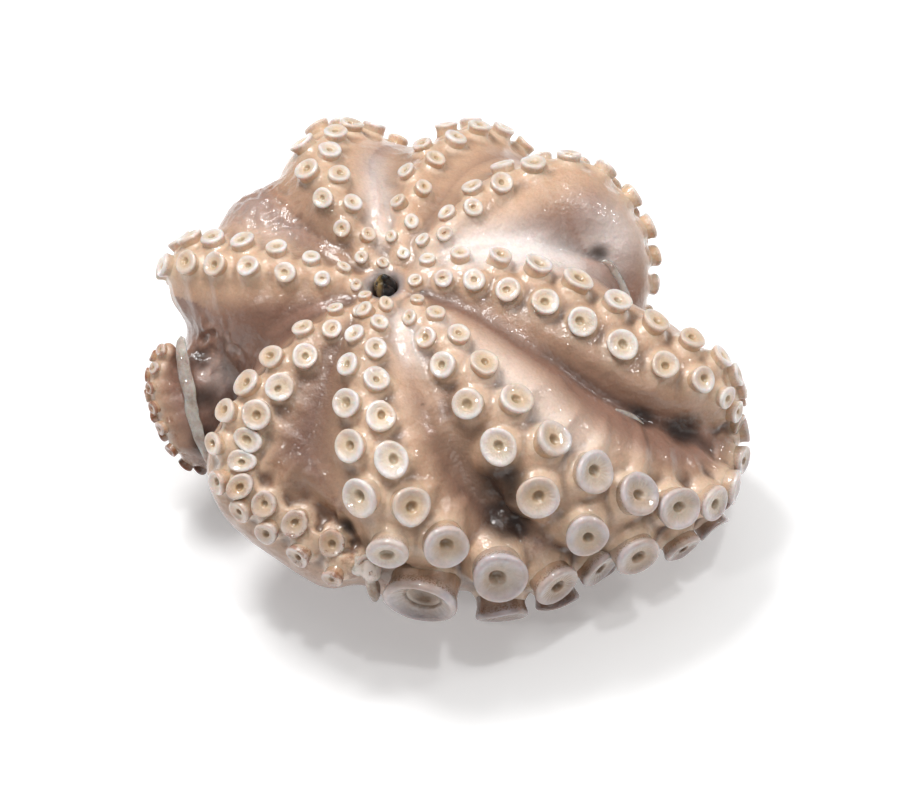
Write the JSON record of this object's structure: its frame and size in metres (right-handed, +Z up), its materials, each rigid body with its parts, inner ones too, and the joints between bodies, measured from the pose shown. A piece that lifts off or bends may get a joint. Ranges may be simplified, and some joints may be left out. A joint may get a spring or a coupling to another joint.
{
  "type": "raw octopus",
  "caption": "Raw octopus laid mouth up as a rounded bundle, its arms folded down all round with suckers outward and a dark beak in the middle.",
  "frame": {"origin": "middle of the bounding box, at the level of the surface that the octopus rests on", "axes": "+Z up, the way the mouth looks; +X towards the right-hand arms as seen from the front; -Y the front, over which the arms with the largest suckers hang"},
  "size_m": [0.2271, 0.2074, 0.1136],
  "materials": {
    "flesh": "wet, smooth and slightly see-through, cream to pinkish brown",
    "horn": "polished black horn"
  },
  "bodies": {
    "root": {"octopus": "flesh", "beak": "horn"}
  },
  "joints": []
}
